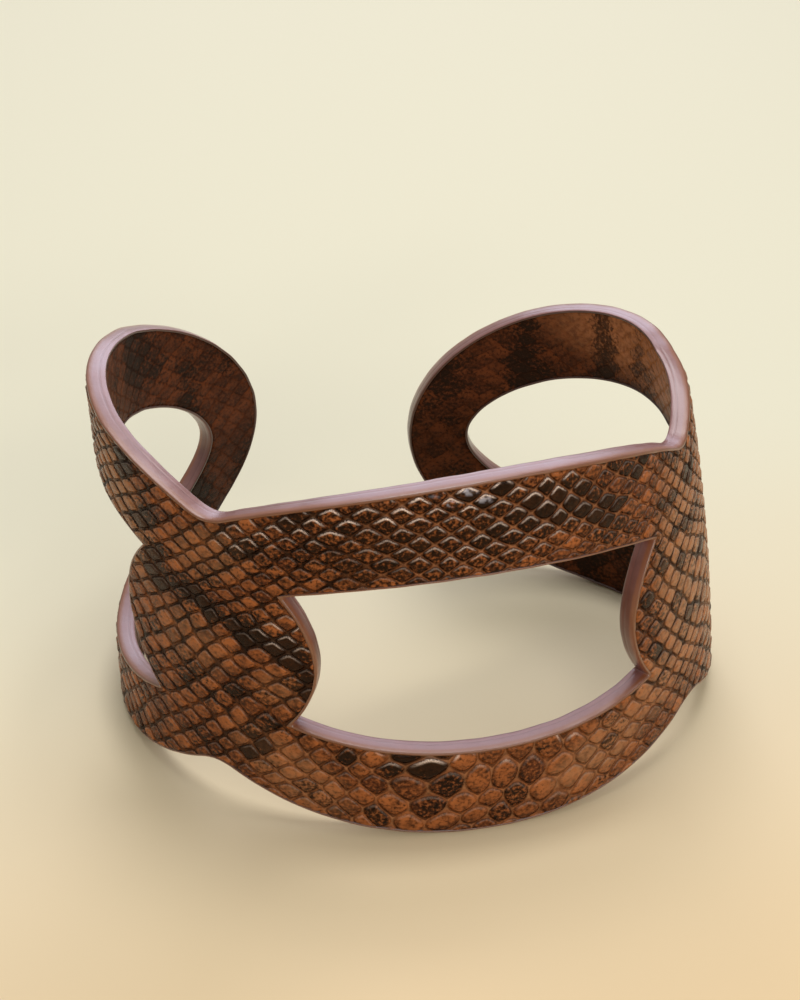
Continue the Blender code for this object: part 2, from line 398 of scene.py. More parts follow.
def scale_cell(a, b, slope):
    """Place inside the scale, from its middle, and the distance to its rim, a half there.

    A point is in the scale round the whole numbers if |b| + slope |a| from there is less than a
    quarter of 1 + slope, else in the scale round the halves. The rim distance falls with the
    fifth root of the sum of the fifth powers of the shares of the way to each pair of sides.
    """
    in_a, in_b = a - np.round(a), b - np.round(b)
    reach = 0.25 * (1 + slope)
    whole = np.abs(in_b) + slope * np.abs(in_a) < reach
    in_a = np.where(whole, in_a, a - np.floor(a) - 0.5)
    in_b = np.where(whole, in_b, b - np.floor(b) - 0.5)
    far = (np.abs(in_b + slope * in_a) / reach) ** CORNER_POWER
    far = far + (np.abs(in_b - slope * in_a) / reach) ** CORNER_POWER
    far = far + (1 - slope) * (2 * np.abs(in_a)) ** CORNER_POWER
    return in_a, in_b, 0.5 - 0.5 * far ** (1 / CORNER_POWER)


def scale_relief(in_b, rim):
    """Height of the grain, 0 to 1: a dome inside each scale, its upper corner raised."""
    return smooth_step(0.0, 0.21, rim) * (0.45 + 0.55 * (0.5 + in_b))


# Dark saddle marks on the outside: u, v, half length, half height in millimetres, turn in
# degrees, depth
MARKS = (
    (-6.0, 33.6, 18.0, 6.4, 2, 0.53),
    (-7.5, 33.0, 5.0, 2.2, 10, 0.64),
    (-1.0, 33.4, 3.0, 2.4, 0, 0.66),
    (-21.0, 31.0, 5.0, 3.4, 15, 0.36),
    (5.8, 35.0, 6.4, 3.1, -8, 0.84),
    (-1.0, 37.2, 4.0, 1.2, 4, 0.9),
    (11.3, 32.8, 4.4, 2.2, -28, 0.8),
    (12.0, 30.8, 5.0, 2.2, -12, 0.5),
    (13.6, 36.4, 3.4, 1.8, -15, 0.6),
    (23.0, 33.5, 5.0, 1.2, -20, 0.5),
    (24.5, 25.5, 4.4, 1.1, -10, 0.75),
    (25.5, 15.5, 3.2, 1.2, -10, 0.7),
    (27.0, 30.0, 2.6, 1.3, -10, 0.8),
    (23.4, 22.0, 2.2, 1.1, 0, 0.7),
    (28.0, 20.5, 2.4, 1.2, 0, 0.8),
    (16.8, 35.2, 1.8, 1.6, 20, 0.9),
    (21.5, 29.4, 4.0, 0.8, -5, 0.8),
    (17.8, 26.6, 1.3, 1.0, 0, 0.8),
    (20.0, 23.3, 1.0, 1.8, 0, 0.7),
    (17.0, 20.6, 0.9, 2.6, 8, 0.7),
    (22.0, 18.5, 1.6, 1.2, 0, 0.6),
    (-17.8, 35.0, 4.0, 1.2, 22, 0.7),
    (-22.4, 31.4, 3.0, 1.4, 30, 0.6),
    (-12.5, 30.6, 3.6, 1.2, 12, 0.6),
    (-34.2, 30.2, 2.4, 1.5, 50, 0.9),
    (-32.6, 27.0, 2.0, 1.6, 55, 0.85),
    (-36.2, 34.6, 2.2, 1.8, 60, 0.9),
    (-32.2, 24.6, 3.0, 1.9, -20, 0.9),
    (-27.4, 24.0, 3.4, 1.7, -30, 0.95),
    (-22.6, 22.0, 2.6, 1.6, -35, 0.9),
    (-19.0, 21.0, 2.6, 1.9, -30, 1.0),
    (-17.0, 17.2, 1.3, 2.2, 8, 0.9),
    (-23.8, 15.2, 1.4, 1.2, -20, 0.6),
    (-19.5, 12.0, 1.5, 1.1, -20, 0.95),
    (-21.4, 9.8, 1.4, 1.0, -30, 0.95),
    (-22.6, 7.9, 1.2, 0.9, -30, 0.9),
    (-20.4, 7.0, 1.5, 0.8, -20, 0.9),
    (-19.4, 8.6, 0.9, 0.8, 0, 0.7),
    (-28.8, 15.2, 3.0, 2.0, -30, 0.5),
    (-16.6, 4.6, 2.2, 1.5, 20, 0.5),
    (-12.8, 9.2, 1.3, 1.3, 0, 0.75),
    (-8.3, 9.0, 1.6, 1.5, 0, 1.0),
    (-5.0, 9.0, 1.6, 1.4, 0, 1.0),
    (-5.4, 10.6, 4.0, 0.7, 4, 1.0),
    (1.4, 9.0, 1.4, 1.3, 0, 0.7),
    (4.4, 9.0, 1.3, 1.4, 10, 0.8),
    (-3.4, 6.2, 1.6, 1.5, 0, 0.55),
    (-10.0, 2.8, 2.6, 1.3, 0, 0.55),
    (2.6, 4.6, 2.4, 1.6, 0, 0.5),
    (12.5, 7.6, 1.8, 1.2, 30, 0.6),
    (15.8, 11.9, 1.6, 1.4, 40, 0.8),
    (19.2, 14.2, 1.2, 1.4, 0, 0.8),
)


def saddle_marks(u, v):
    """How dark the print is: the listed marks as soft ovals, faint waves below the top band, and
    beyond the front a field of waves that gives marks of the same size."""
    dark = ovals(u, v, MARKS)
    low = 1 - smooth_step(0.026, 0.032, v)
    dark = np.maximum(dark, 0.42 * low * smooth_step(0.1, 0.9, waves(u, v, 0.006, 43)))
    beyond = smooth_step(0.026, 0.036, np.maximum(u, -u - 0.010))
    field = waves(u, v, 0.009, 41) + 0.5 * waves(u, v, 0.0045, 42)
    return np.maximum(dark, beyond * 0.9 * smooth_step(0.25, 0.85, field))


def lining_marks(u, v):
    """How dark the print is inside: long marks of waves stretched along the blank."""
    field = waves(u, v * 0.7, 0.010, 51) + 0.45 * waves(u, v, 0.0045, 52)
    return 0.72 * smooth_step(-0.6, 1.0, field)


# Where the upper rims of the scales gleam, as painted highlight lines with a higher gloss, and
# where the share passes 1 as painted sheen over the upper part of whole scales: u, v, half
# length, half height in millimetres, turn, share
GLEAMS = (
    (-4.2, 37.0, 1.1, 0.7, 0, 1.6),
    (-2.4, 37.9, 1.6, 0.6, 0, 1.6),
    (-1.2, 36.9, 1.2, 0.6, 0, 1.5),
    (-6.2, 37.6, 1.2, 0.6, 0, 1.3),
    (-2.6, 37.2, 4.6, 1.5, 4, 1.0),
    (-8.8, 36.4, 4.0, 1.8, 14, 1.0),
    (-15.0, 35.2, 5.0, 1.9, 18, 0.9),
    (-22.0, 32.6, 4.0, 1.6, 25, 0.7),
    (4.0, 36.6, 5.0, 1.8, 0, 0.75),
    (-2.0, 33.4, 12.0, 3.0, 0, 0.45),
    (-1.0, 9.8, 10.0, 1.5, 0, 0.75),
    (-19.0, 22.5, 3.0, 2.4, 0, 0.5),
)


# Where the outside is made lighter tan: u, v, half length, half height in millimetres, turn, share
LIGHT_PLACES = (
    (-18.5, 7.0, 7.0, 3.4, -35, 0.45),
    (12.0, 6.5, 7.0, 3.4, 25, 0.65),
    (19.0, 11.0, 5.0, 4.0, 40, 0.6),
    (24.0, 21.0, 6.0, 15.0, 0, 0.84),
    (33.0, 20.0, 6.0, 16.0, 0, 0.86),
    (-37.0, 30.0, 4.0, 9.0, 30, 0.82),
    (-29.0, 19.0, 5.0, 4.0, -20, 0.32),
    (-26.5, 29.5, 4.5, 3.4, 20, 0.36),
    (-19.5, 16.5, 2.6, 2.2, 0, 0.30),
)


# Painted light from above on the lining, on the top of the right ring: u, v, half length, half
# height in millimetres, turn, share
LINING_PAINTED_LIGHT_PLACES = (
    (42.0, 35.0, 18.0, 5.5, 0, 1.0),
    (-46.0, 31.0, 12.0, 6.0, 0, 0.12),
)


def ovals(u, v, places):
    """The greatest of soft ovals, each its own depth inside and nought beyond its rim."""
    depth_here = np.zeros_like(u)
    for mu, mv, length, height, turn, depth in places:
        du, dv = u - mu * 0.001, v - mv * 0.001
        c, s = math.cos(math.radians(turn)), math.sin(math.radians(turn))
        far = np.hypot((du * c + dv * s) / length, (dv * c - du * s) / height) / 0.001
        depth_here = np.maximum(depth_here, depth * (1 - smooth_step(0.45, 1.25, far)))
    return depth_here


def pale_joints(u, v):
    """How light the joints between the scales are: smooth steps keep it to the front's two
    bands and fade it to the left on the upper one, and long waves vary it a little."""
    front = 1 - smooth_step(0.016, 0.026, np.abs(u + 0.001))
    bands = smooth_step(0.0075, 0.0105, np.abs(v - CENTRE_HALF_HEIGHT))
    left_fade = smooth_step(-0.016, -0.007, u) + (v < CENTRE_HALF_HEIGHT)
    return np.clip(front * bands * np.clip(left_fade, 0, 1) + 0.15 * waves(u, v, 0.012, 61), 0, 1)


def at_scale_middle(field, u, v, seed):
    """A field taken mostly at the middle of each scale, so that a scale keeps one shade.

    The scale's width and height here are a short step over the count gained along it.
    """
    step = 0.0001
    a, b = scale_lattice(u, v, seed)
    in_a, in_b, _ = scale_cell(a, b, scale_slope(u, v))
    width = step / np.maximum(scale_lattice(u + step, v, seed)[0] - a, 0.01)
    height = step / np.maximum(scale_lattice(u, v + step, seed)[1] - b, 0.01)
    return 0.75 * field(u - in_a * width, v - in_b * height) + 0.25 * field(u, v)


# Meshes from arrays
def mesh_piece(name, vertices, faces, uv_maps, fields, material):
    """A piece from arrays: vertices, four-cornered faces, UV maps and fields per vertex."""
    mesh = bpy.data.meshes.new(name)
    mesh.vertices.add(len(vertices))
    mesh.vertices.foreach_set("co", vertices.astype(np.float32).ravel())
    mesh.loops.add(faces.size)
    mesh.loops.foreach_set("vertex_index", faces.astype(np.int32).ravel())
    mesh.polygons.add(len(faces))
    mesh.polygons.foreach_set("loop_start", np.arange(0, faces.size, 4, dtype=np.int32))
    mesh.update(calc_edges=True)
    for label, pairs in uv_maps.items():
        layer = mesh.uv_layers.new(name=label)
        corners = pairs if len(pairs) == faces.size else pairs[faces.ravel()]
        layer.data.foreach_set("uv", corners.astype(np.float32).ravel())
    for label, values in fields.items():
        attribute = mesh.attributes.new(label, "FLOAT", "POINT")
        attribute.data.foreach_set("value", values.astype(np.float32))
    mesh.shade_smooth()
    mesh.validate()
    mesh.materials.append(material)
    piece = bpy.data.objects.new(name, mesh)
    bpy.context.scene.collection.objects.link(piece)
    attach(piece, "root")
    return piece


def leather_grid(cell):
    """Even cells over the blank, kept where their middle is leather, as index arrays.

    Corners on the rim of the kept cells are moved to the outline along the distance's slope.
    Returns u, v, the faces and the rim's directed edges.
    """
    columns = int(HALF_LENGTH / cell) + 2
    rows = int(HEIGHT / cell) + 2
    u, v = np.meshgrid(np.arange(-columns, columns + 1) * cell,
                       np.arange(-1, rows + 1) * cell, indexing="ij")
    middle = rim_distance(u[:-1, :-1] + cell / 2, v[:-1, :-1] + cell / 2)
    kept = np.pad(middle < -0.1 * cell, 1)
    around = (kept[:-1, :-1].astype(int) + kept[1:, :-1] + kept[:-1, 1:] + kept[1:, 1:])
    index = np.where(around > 0, np.cumsum(around > 0).reshape(around.shape) - 1, -1)
    body = kept[1:-1, 1:-1]
    i, j = np.nonzero(body)
    corners = ((i, j), (i + 1, j), (i + 1, j + 1), (i, j + 1))
    faces = np.stack([index[c] for c in corners], axis=1)
    beyond = (kept[1:-1, :-2], kept[2:, 1:-1], kept[1:-1, 2:], kept[:-2, 1:-1])
    edges = [np.stack([index[corners[k]], index[corners[(k + 1) % 4]]], axis=1)[~beyond[k][i, j]]
             for k in range(4)]
    rim = (around > 0) & (around < 4)
    u[rim], v[rim] = onto_rim(u[rim], v[rim], cell * 0.05)
    return u[around > 0], v[around > 0], faces, np.concatenate(edges)


# The grain: size of a grid cell, height of the relief, seed of its waves
OUTER_CELL, OUTER_RELIEF, OUTER_SEED = 0.00021, 0.00022, 11
LINING_CELL, LINING_RELIEF, LINING_SEED = 0.00032, 0.00004, 211

# Where the leather sinks under the edge paint, how far, and where its skirt ends
TUCK_REACH = 0.00018
TUCK_DEPTH = 0.00026
JOINT_LEVEL = 0.00005


def leather_face(name, node, cell, face, outward, relief, seed, marks, material):
    """One face of the cuff: the grid at the face's depth plus the grain's relief.

    Near the outline the face sinks under the edge paint, and a skirt along its rim goes down to
    the joint between the layers.
    """
    u, v, faces, edges = leather_grid(cell)
    a, b = scale_lattice(u, v, seed)
    slope = scale_slope(u, v)
    _, in_b, rim_depth = scale_cell(a, b, slope)
    inside = -rim_distance(u, v)
    fade = smooth_step(TUCK_REACH * 0.7, TUCK_REACH * 1.9, inside)
    tuck = TUCK_DEPTH * (1 - smooth_step(0.0, TUCK_REACH, inside))
    creases = 0.12 * waves(u, v, 0.0011, seed + 7) + 0.10 * waves(u, v, 0.0019, seed + 8)
    lift = relief * (scale_relief(in_b, rim_depth) + creases) * fade - tuck
    depth = face + outward * lift
    rim = np.unique(edges)
    lower = np.full(len(u), -1)
    lower[rim] = len(u) + np.arange(len(rim))
    start, end = edges[:, 0], edges[:, 1]
    skirt = np.stack([end, start, lower[start], lower[end]], axis=1)
    faces = np.concatenate([faces, skirt])
    if outward < 0:
        faces = faces[:, ::-1]
    everything = np.concatenate([np.arange(len(u)), rim])
    all_depths = np.concatenate([depth, np.full(len(rim), JOINT_LEVEL)])
    vertices = place(u[everything], v[everything], all_depths)
    fields = dict(dark=at_scale_middle(marks, u, v, seed)[everything],
                  pale=pale_joints(u, v)[everything], slope=slope[everything])
    # Outside, lighter tan places and the rims' painted highlight and gloss; inside, painted light
    # from above.
    if outward > 0:
        fields["light"] = ovals(u, v, LIGHT_PLACES)[everything]
        fields["gleam"] = ovals(u, v, GLEAMS)[everything]
    else:
        fields["light"] = ovals(u, v, LINING_PAINTED_LIGHT_PLACES)[everything]
    maps = dict(scales=np.stack([a, b], axis=1)[everything],
                blank=np.stack([u, v], axis=1)[everything] * 100)
    piece = mesh_piece(name, vertices, faces, maps, fields, material)
    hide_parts(node)
    return piece


# The painted edge
EDGE_SPACING = 0.0004
EDGE_INSET = 0.00019
EDGE_BULGE = 0.00012
EDGE_HALF = 0.00095
EDGE_MIDDLE = 0.00005
EDGE_POINTS = 24
EDGE_FLATNESS = 0.34
SEAM_SHARE = 0.60
SEAM_WIDTH = 0.022
SEAM_DEPTH = 0.00004
EDGE_UNEVEN = 0.00002


def edge_profile(share):
    """The edge's section, from the outer face round to the lining.

    Sine gives the depth and a low power of cosine how far it stands out, so the face is nearly
    flat and its corners round; a narrow dip marks the seam of the two layers.
    """
    angle = math.pi / 2 - math.pi * share
    round_off = np.maximum(np.cos(angle), 0.0) ** EDGE_FLATNESS
    out = (EDGE_INSET + EDGE_BULGE) * round_off - EDGE_INSET
    out = out - SEAM_DEPTH * np.exp(-((share - SEAM_SHARE) / SEAM_WIDTH) ** 2)
    return out, EDGE_MIDDLE + EDGE_HALF * np.sin(angle)


def painted_edge(name, points, material):
    """The edge's section carried along one closed outline, out along the outline's normal."""
    ahead, behind = np.roll(points, -1, axis=0), np.roll(points, 1, axis=0)
    forward, backward = ahead - points, points - behind
    forward = forward / np.linalg.norm(forward, axis=1, keepdims=True)
    backward = backward / np.linalg.norm(backward, axis=1, keepdims=True)
    tangent = forward + backward
    tangent = tangent / np.linalg.norm(tangent, axis=1, keepdims=True)
    spread = 1 / np.maximum((tangent * forward).sum(axis=1), 0.6)
    normal = np.stack([tangent[:, 1], -tangent[:, 0]], axis=1) * spread[:, None]
    share = np.linspace(0.0, 1.0, EDGE_POINTS)
    out, depth = edge_profile(share)
    uneven = EDGE_UNEVEN * waves(points[:, 0], points[:, 1], 0.0028, 71)[:, None]
    u = points[:, 0, None] + normal[:, 0, None] * (out[None, :] + uneven)
    v = points[:, 1, None] + normal[:, 1, None] * (out[None, :] + uneven)
    w = np.broadcast_to(depth[None, :], u.shape) + 0.6 * uneven * np.sign(0.5 - share)
    vertices = place(u, v, w).reshape(-1, 3)
    length, count = len(points), EDGE_POINTS
    i, k = np.meshgrid(np.arange(length), np.arange(count), indexing="ij")
    i, k = i.ravel(), k.ravel()
    after_i, after_k = (i + 1) % length, (k + 1) % count
    faces = np.stack([i * count + k, i * count + after_k, after_i * count + after_k,
                      after_i * count + k], axis=1)
    along = np.arange(length + 1) * EDGE_SPACING * 1000
    round_share = np.append(share, 1.0)
    corner_u = np.stack([along[i], along[i], along[i + 1], along[i + 1]], axis=1)
    corner_v = np.stack([round_share[k], round_share[k + 1], round_share[k + 1],
                         round_share[k]], axis=1)
    maps = dict(edge=np.stack([corner_u.ravel(), corner_v.ravel()], axis=1))
    return mesh_piece(name, vertices, faces, maps, {}, material)


# Finishes, and the gloss of leather where no rim gleams
PLAIN_GLOSS = 0.12


def colour(red, green, blue):
    """A screen colour of 0 to 255 as the linear values that the shader takes."""
    shares = np.array([red, green, blue]) / 255
    linear = np.where(shares <= 0.04045, shares / 12.92, ((shares + 0.055) / 1.055) ** 2.4)
    return (*linear.tolist(), 1.0)


class Finish:
    """A material whose nodes are added and joined by short calls."""

    def __init__(self, name):
        self.material = bpy.data.materials.new(name)
        self.material.use_nodes = True
        self.tree = self.material.node_tree
        self.shader = self.tree.nodes["Principled BSDF"]

    def node(self, kind, **settings):
        made = self.tree.nodes.new(kind)
        for label, value in settings.items():
            setattr(made, label, value)
        return made

    def join(self, source, target):
        self.tree.links.new(source, target)

    def put(self, socket, value):
        """A value or another node's output goes to a socket."""
        if isinstance(value, bpy.types.NodeSocket):
            self.join(value, socket)
        else:
            socket.default_value = value

    def maths(self, operation, first, second=0.0, third=0.0):
        made = self.node("ShaderNodeMath", operation=operation)
        for socket, value in zip(made.inputs, (first, second, third)):
            self.put(socket, value)
        return made.outputs[0]

    def ramp(self, value, low, high, to_low=0.0, to_high=1.0):
        made = self.node("ShaderNodeMapRange", interpolation_type="SMOOTHSTEP")
        for label, given in (("Value", value), ("From Min", low), ("From Max", high),
                             ("To Min", to_low), ("To Max", to_high)):
            self.put(made.inputs[label], given)
        return made.outputs["Result"]

    def mix(self, share, first, second, blend="MIX"):
        made = self.node("ShaderNodeMix", data_type="RGBA", blend_type=blend)
        self.put(made.inputs[0], share)
        self.put(made.inputs[6], first)
        self.put(made.inputs[7], second)
        return made.outputs[2]

    def uv(self, label):
        return self.node("ShaderNodeUVMap", uv_map=label).outputs["UV"]

    def field(self, label):
        return self.node("ShaderNodeAttribute", attribute_name=label).outputs["Fac"]

    def noise(self, vector, scale, detail=3.0, roughness=0.55):
        made = self.node("ShaderNodeTexNoise")
        self.put(made.inputs["Vector"], vector)
        made.inputs["Scale"].default_value = scale
        made.inputs["Detail"].default_value = detail
        made.inputs["Roughness"].default_value = roughness
        return made.outputs["Fac"]

    def bump(self, height, strength, distance, under=None):
        made = self.node("ShaderNodeBump")
        made.inputs["Strength"].default_value = strength
        made.inputs["Distance"].default_value = distance
        self.put(made.inputs["Height"], height)
        if under is not None:
            self.put(made.inputs["Normal"], under)
        return made.outputs["Normal"]


def scale_nodes(finish):
    """Rim distance, place along and up the scale, and the scale's chance, as in scale_cell."""
    split = finish.node("ShaderNodeSeparateXYZ")
    finish.put(split.inputs[0], finish.uv("scales"))
    a, b = split.outputs[0], split.outputs[1]
    slope = finish.field("slope")
    whole_a, whole_b = finish.maths("ROUND", a), finish.maths("ROUND", b)
    half_a = finish.maths("ADD", finish.maths("FLOOR", a), 0.5)
    half_b = finish.maths("ADD", finish.maths("FLOOR", b), 0.5)
    aside = finish.maths("ABSOLUTE", finish.maths("SUBTRACT", a, whole_a))
    above = finish.maths("ABSOLUTE", finish.maths("SUBTRACT", b, whole_b))
    reach = finish.maths("MULTIPLY", finish.maths("ADD", slope, 1.0), 0.25)
    whole = finish.maths("LESS_THAN", finish.maths("MULTIPLY_ADD", slope, aside, above), reach)
    middle_a = finish.maths("MULTIPLY_ADD", whole, finish.maths("SUBTRACT", whole_a, half_a), half_a)
    middle_b = finish.maths("MULTIPLY_ADD", whole, finish.maths("SUBTRACT", whole_b, half_b), half_b)
    in_a = finish.maths("SUBTRACT", a, middle_a)
    in_b = finish.maths("SUBTRACT", b, middle_b)
    lean = finish.maths("MULTIPLY", slope, in_a)
    rising = finish.maths("ABSOLUTE", finish.maths("SUBTRACT", in_b, lean))
    falling = finish.maths("ABSOLUTE", finish.maths("ADD", in_b, lean))
    far = finish.maths("ADD",
                       finish.maths("POWER", finish.maths("DIVIDE", rising, reach), CORNER_POWER),
                       finish.maths("POWER", finish.maths("DIVIDE", falling, reach), CORNER_POWER))
    width = finish.maths("MULTIPLY", finish.maths("ABSOLUTE", in_a), 2.0)
    upright = finish.maths("MULTIPLY", finish.maths("SUBTRACT", 1.0, slope),
                           finish.maths("POWER", width, CORNER_POWER))
    far = finish.maths("POWER", finish.maths("ADD", far, upright), 1 / CORNER_POWER)
    rim = finish.maths("MULTIPLY_ADD", far, -0.5, 0.5)
    join = finish.node("ShaderNodeCombineXYZ")
    finish.put(join.inputs[0], middle_a)
    finish.put(join.inputs[1], middle_b)
    chance = finish.node("ShaderNodeTexWhiteNoise", noise_dimensions="2D")
    finish.put(chance.inputs["Vector"], join.outputs[0])
    return rim, width, finish.maths("MULTIPLY", in_b, 2.0), chance.outputs["Value"]


def snake_leather(name, tones, shine, grain, rim_gloss):
    """Glossy embossed leather: each scale between two browns by chance and cloud, its lower part
    darker as painted shade, dark print on top, joints dark or light with painted shade on their lower
    sides, a painted highlight line on the scale's raised upper rim and painted sheen on some scales.

    The print covers a scale where its darkness, less the mottle, passes a smooth step, and lighter
    tan places show where it doesn't, painted light from above on the lining. rim_gloss is what a
    gleaming rim adds to the plain gloss.
    """
    finish = Finish(name)
    rim, width, rise, chance = scale_nodes(finish)
    blank = finish.uv("blank")
    cloud = finish.noise(blank, 14.0, 4.0, 0.6)
    fine = finish.noise(blank, 70.0, 3.0, 0.6)
    blotch = finish.noise(blank, 5.0, 2.0, 0.5)
    mottle = finish.noise(blank, 26.0, 3.5, 0.58)
    pale, gleam = finish.field("pale"), finish.field("gleam")
    shade = finish.maths("ADD", finish.maths("MULTIPLY", chance, 0.80),
                         finish.maths("MULTIPLY", cloud, 0.60))
    scale = finish.mix(finish.ramp(shade, 0.25, 1.0), tones["brown"], tones["orange"])
    scale = finish.mix(finish.ramp(blotch, 0.42, 0.66, 0.0, 0.7), scale, tones["deep"])
    # The lower part of each scale darkened towards the deep brown: painted shade below the raised
    # upper corner.
    scale = finish.mix(finish.ramp(rise, -0.6, 0.2, 0.55, 0.0), scale, tones["deep"])
    scale = finish.mix(finish.ramp(mottle, 0.48, 0.68, 0.0, 0.6), scale, tones["orange"])
    scale = finish.mix(finish.ramp(mottle, 0.52, 0.32, 0.0, 0.65), scale, tones["print"])
    worn = finish.maths("ADD", finish.field("dark"),
                        finish.maths("MULTIPLY", finish.maths("SUBTRACT", mottle, 0.5), -1.5))
    printed = finish.ramp(worn, 0.18, 0.66)
    scale = finish.mix(finish.maths("MULTIPLY", printed, 0.93), scale, tones["print"])
    # Lighter tan where the print is bare; inside, the light field is painted light from above.
    light = finish.maths("MULTIPLY", finish.field("light"), finish.ramp(cloud, 0.35, 0.6, 0.5, 1.0))
    bare = finish.maths("MULTIPLY_ADD", printed, -0.85, 1.0)
    scale = finish.mix(finish.maths("MULTIPLY", light, bare), scale, tones["tan"])
    rim_cloud = finish.maths("MULTIPLY_ADD", finish.maths("SUBTRACT", fine, 0.5), 0.11, rim)
    # Pale joints, darker along the lower side of each scale: painted shade.
    pale_joint_painted_shade = finish.maths("MULTIPLY", pale, finish.ramp(rise, -0.6, 0.2, 0.45, 1.0))
    joint_tone = finish.mix(pale_joint_painted_shade, tones["joint"], tones["pale_joint"])
    knot = finish.maths("MULTIPLY", finish.ramp(width, 0.70, 1.0), pale)
    joint_tone = finish.mix(finish.maths("MULTIPLY", knot, 0.6), joint_tone, tones["tan"])
    joint_tone = finish.mix(finish.ramp(cloud, 0.55, 0.30, 0.0, 0.6), joint_tone, tones["deep"])
    joint_width = finish.maths("MULTIPLY_ADD", pale, -0.055, 0.145)
    in_joint = finish.ramp(rim_cloud, 0.01, joint_width, 1.0, 0.0)
    joint_share = finish.ramp(blotch, 0.38, 0.60, 0.5 * tones["joint_depth"], tones["joint_depth"])
    skin = finish.mix(finish.maths("MULTIPLY", in_joint, joint_share), scale, joint_tone)
    # Painted highlight: a pale line along each scale's raised upper rim, strongest where the rims
    # gleam.
    upper = finish.ramp(rise, 0.05, 0.45)
    line = finish.maths("MULTIPLY", finish.ramp(rim_cloud, 0.045, 0.085),
                        finish.ramp(rim_cloud, 0.11, 0.18, 1.0, 0.0))
    line = finish.maths("MULTIPLY", finish.maths("MULTIPLY", line, upper),
                        finish.ramp(fine, 0.35, 0.55, 0.3, 1.0))
    rim_gleam = finish.maths("MINIMUM", gleam, 1.0)
    line = finish.maths("MULTIPLY", line, finish.maths("MULTIPLY_ADD", rim_gleam, 0.88, 0.12))
    # Painted sheen: a bluish-white reflection painted over the upper part of whole scales where the
    # gleam passes 1.
    painted_sheen = finish.maths("MULTIPLY", finish.ramp(gleam, 1.0, 1.4), finish.ramp(rise, -0.4, 0.3))
    painted_sheen = finish.maths("MULTIPLY", painted_sheen, finish.ramp(rim_cloud, 0.08, 0.20, 0.0, 0.5))
    skin = finish.mix(finish.maths("MULTIPLY", painted_sheen, finish.ramp(cloud, 0.40, 0.62)), skin,
                      tones["painted_sheen"])
    skin = finish.mix(line, skin, tones["painted_highlight"])
    finish.put(finish.shader.inputs["Base Color"], skin)
    rough = finish.maths("MULTIPLY_ADD", fine, 0.14, shine)
    rough = finish.maths("MULTIPLY_ADD", rim_gleam, -0.10, rough)
    rough = finish.maths("MULTIPLY_ADD", in_joint, 0.25, rough)
    finish.put(finish.shader.inputs["Roughness"], rough)
    normal = finish.bump(finish.ramp(rim, 0.0, 0.12), grain, 0.00026)
    normal = finish.bump(finish.noise(blank, 130.0, 4.0, 0.65), 0.6, 0.00006, normal)
    normal = finish.bump(fine, 0.4, 0.00008, normal)
    finish.put(finish.shader.inputs["Normal"], normal)
    finish.shader.inputs["Specular Tint"].default_value = (1.0, 0.76, 0.58, 1.0)
    glossy = finish.maths("MAXIMUM", finish.ramp(rim_cloud, 0.12, 0.24, 1.0, 0.0),
                          finish.ramp(gleam, 1.0, 1.4))
    glossy = finish.maths("MULTIPLY", finish.maths("MULTIPLY", rim_gleam, upper), glossy)
    level = finish.shader.inputs["Specular IOR Level"]
    level.default_value = PLAIN_GLOSS
    if rim_gloss:
        finish.put(level, finish.maths("MULTIPLY_ADD", glossy, rim_gloss, PLAIN_GLOSS))
    return finish.material


def edge_paint():
    """Edge paint, red-brown at the sides and painted lighter mauve where it faces up as painted light
    and reflection from above, with a bare orange-brown strip beside the grain and a dark seam."""
    finish = Finish("painted_edge")
    split = finish.node("ShaderNodeSeparateXYZ")
    finish.put(split.inputs[0], finish.uv("edge"))
    across = split.outputs[1]
    point = finish.node("ShaderNodeTexCoord").outputs["Object"]
    cloud = finish.noise(point, 700.0, 3.0, 0.6)
    fine = finish.noise(point, 3500.0, 3.0, 0.6)
    # The edge's upward faces take a lighter mauve by their normal: painted light and reflection from
    # above.
    split_normal = finish.node("ShaderNodeSeparateXYZ")
    finish.put(split_normal.inputs[0], finish.node("ShaderNodeNewGeometry").outputs["Normal"])
    painted_light_from_above = finish.ramp(split_normal.outputs[2], 0.15, 0.85)
    tone = finish.mix(painted_light_from_above, finish.mix(cloud, colour(86, 42, 32), colour(114, 64, 51)),
                      finish.mix(cloud, colour(116, 72, 64), colour(148, 104, 100)))
    stray = finish.maths("MULTIPLY", finish.maths("SUBTRACT", cloud, 0.5), 0.10)
    place_across = finish.maths("ADD", across, stray)
    strip = finish.ramp(place_across, 0.30, 0.42, 1.0, 0.0)
    tone = finish.mix(finish.maths("MULTIPLY", strip, 0.95), tone, colour(134, 80, 50))
    grain_side = finish.ramp(place_across, 0.12, 0.23, 1.0, 0.0)
    tone = finish.mix(grain_side, tone, colour(118, 72, 44))
    seam = finish.maths("ABSOLUTE", finish.maths("SUBTRACT", across, SEAM_SHARE))
    tone = finish.mix(finish.ramp(seam, 0.006, 0.03, 0.35, 0.0), tone, colour(92, 56, 52))
    lining_side = finish.ramp(across, 0.88, 0.94)
    tone = finish.mix(lining_side, tone, colour(80, 46, 34))
    finish.put(finish.shader.inputs["Base Color"], tone)
    finish.put(finish.shader.inputs["Roughness"], finish.ramp(cloud, 0.2, 0.8, 0.30, 0.48))
    normal = finish.bump(cloud, 0.4, 0.00012)
    normal = finish.bump(fine, 0.25, 0.00003, normal)
    finish.put(finish.shader.inputs["Normal"], normal)
    finish.shader.inputs["Coat Weight"].default_value = 0.8
    finish.shader.inputs["Coat Roughness"].default_value = 0.3
    return finish.material


